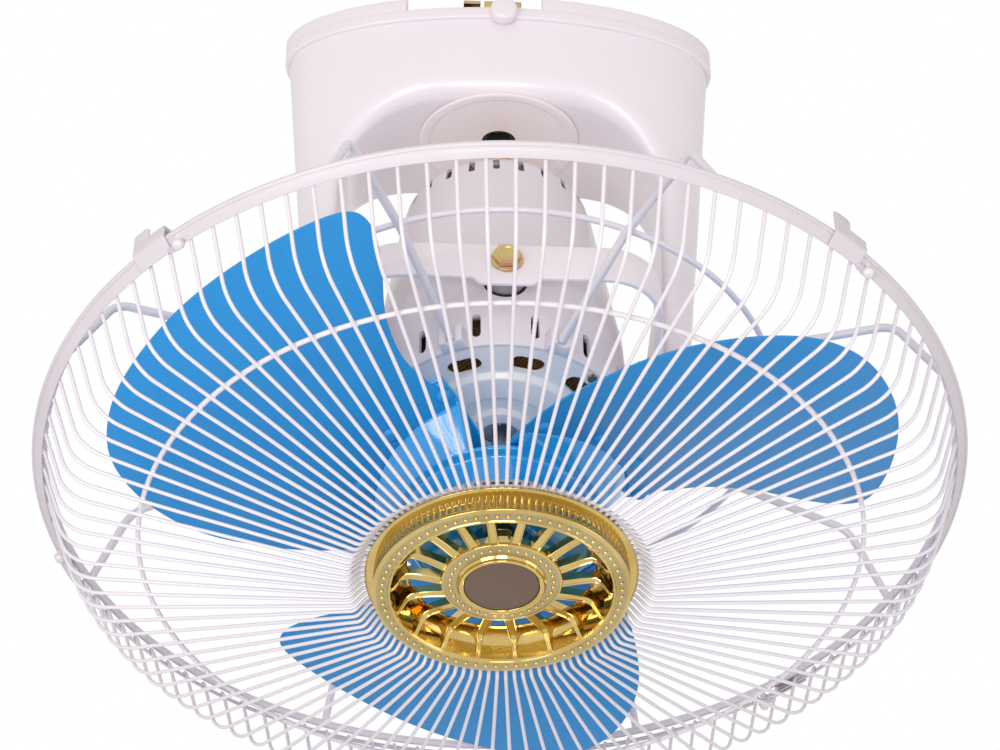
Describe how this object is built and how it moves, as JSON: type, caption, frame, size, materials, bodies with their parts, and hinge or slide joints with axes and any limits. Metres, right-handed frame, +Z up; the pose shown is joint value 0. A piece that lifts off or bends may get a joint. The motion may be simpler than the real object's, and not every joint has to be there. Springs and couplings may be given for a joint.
{
  "type": "orbital ceiling fan",
  "caption": "Caged ceiling fan whose motor head hangs on crossed pivots in an arched oval housing and orbits about the vertical.",
  "frame": {"origin": "centre of the four ceiling screw holes, in the ceiling plane", "axes": "+Z up into the ceiling, +X along the long side of the oval housing to the right seen from the front, -Y towards the front, where the head leans in the stored pose"},
  "size_m": [0.46, 0.4502, 0.3666],
  "materials": {
    "white_paint": "glossy powder coat",
    "white_plastic": "moulded, soft gloss",
    "yellow_zinc": "yellow-passivated zinc plate",
    "steel": "bare machined steel",
    "bronzed_steel": "dark reddish-brown plated",
    "enamelled_copper": "varnished winding wire",
    "black_plastic": "moulded case",
    "rubber": "moulded",
    "ivory_plastic": "moulded",
    "nylon": "natural nylon",
    "gold_chrome": "gold-coloured metallised moulding",
    "brown_paint": "satin",
    "blade_blue": "satin",
    "hub_blue": "high gloss"
  },
  "bodies": {
    "root": {"ceiling_bracket": "yellow_zinc", "canopy_knobs": "white_plastic", "housing": "white_plastic", "yoke": "steel", "yoke_bolts": "yellow_zinc", "socket_plate": "white_plastic", "socket_bush": "rubber", "socket_plate_screws": "steel", "terminal_block": "ivory_plastic", "capacitor": "black_plastic", "pivot_bolts": "bronzed_steel", "pivot_nuts": "yellow_zinc"},
    "strap": {"gimbal_strap": "white_paint", "pivot_bushes": "nylon"},
    "head": {"gimbal_bolts": "yellow_zinc", "gimbal_bosses": "yellow_zinc", "motor_rear_cover": "white_paint", "motor_front_shell": "white_paint", "end_bell": "white_paint", "bell_screws": "yellow_zinc", "stator_stack": "steel", "windings": "enamelled_copper", "shaft_bearings": "steel", "bearing_bracket": "steel", "orbit_motor": "steel", "orbit_motor_screws": "yellow_zinc", "rear_guard_spokes": "white_paint", "rear_guard_ring": "white_paint", "rear_rim_ring": "white_paint", "spoke_clips": "white_paint", "front_rim_band": "white_paint", "front_guard_wires": "white_paint", "front_mid_ring": "white_paint", "front_inner_ring": "white_paint", "clip_rivets": "white_paint", "badge_bezel": "gold_chrome", "badge_disc": "brown_paint", "badge_backing_ring": "steel", "badge_screws": "yellow_zinc"},
    "crank": {"crank_shaft": "steel", "crank_arm": "yellow_zinc", "crank_ball": "yellow_zinc"},
    "fan": {"motor_shaft": "steel", "rotor_core": "steel", "fan_hub": "hub_blue", "hub_washer": "steel", "hub_nut": "yellow_zinc", "blade_1": "blade_blue", "blade_2": "blade_blue", "blade_3": "blade_blue", "blade_rivets": "blade_blue"},
    "clip_1": {"rim_clip_1": "white_paint"},
    "clip_2": {"rim_clip_2": "white_paint"},
    "clip_3": {"rim_clip_3": "white_paint"},
    "clip_4": {"rim_clip_4": "white_paint"}
  },
  "joints": [
    {"name": "strap_tilt", "type": "hinge", "parent": "root", "child": "strap", "pos_m": [0, 0, -0.206], "axis": [1, 0, 0], "range_deg": [0, 24]},
    {"name": "head_tilt", "type": "hinge", "parent": "strap", "child": "head", "pos_m": [0, 0, -0.206], "axis": [0, -0.9781, 0.2079], "range_deg": [-12, 12]},
    {"name": "fan_spin", "type": "hinge", "parent": "head", "child": "fan", "pos_m": [0, 0, -0.206], "axis": [0, -0.2079, -0.9781], "continuous": true},
    {"name": "orbit_crank", "type": "hinge", "parent": "head", "child": "crank", "pos_m": [0, 0.02453, -0.09058], "axis": [0, -0.2079, -0.9781], "continuous": true},
    {"name": "clip_1_swivel", "type": "hinge", "parent": "head", "child": "clip_1", "pos_m": [-0.15277, -0.18175, -0.25355], "axis": [0, -0.2079, -0.9781], "range_deg": [-70, 0]},
    {"name": "clip_2_swivel", "type": "hinge", "parent": "head", "child": "clip_2", "pos_m": [0.15854, -0.17644, -0.25468], "axis": [0, -0.2079, -0.9781], "range_deg": [-70, 0]},
    {"name": "clip_3_swivel", "type": "hinge", "parent": "head", "child": "clip_3", "pos_m": [-0.21977, 0.03807, -0.30028], "axis": [0, -0.2079, -0.9781], "range_deg": [-70, 0]},
    {"name": "clip_4_swivel", "type": "hinge", "parent": "head", "child": "clip_4", "pos_m": [0.1516, 0.14774, -0.32359], "axis": [0, -0.2079, -0.9781], "range_deg": [-70, 0]}
  ]
}
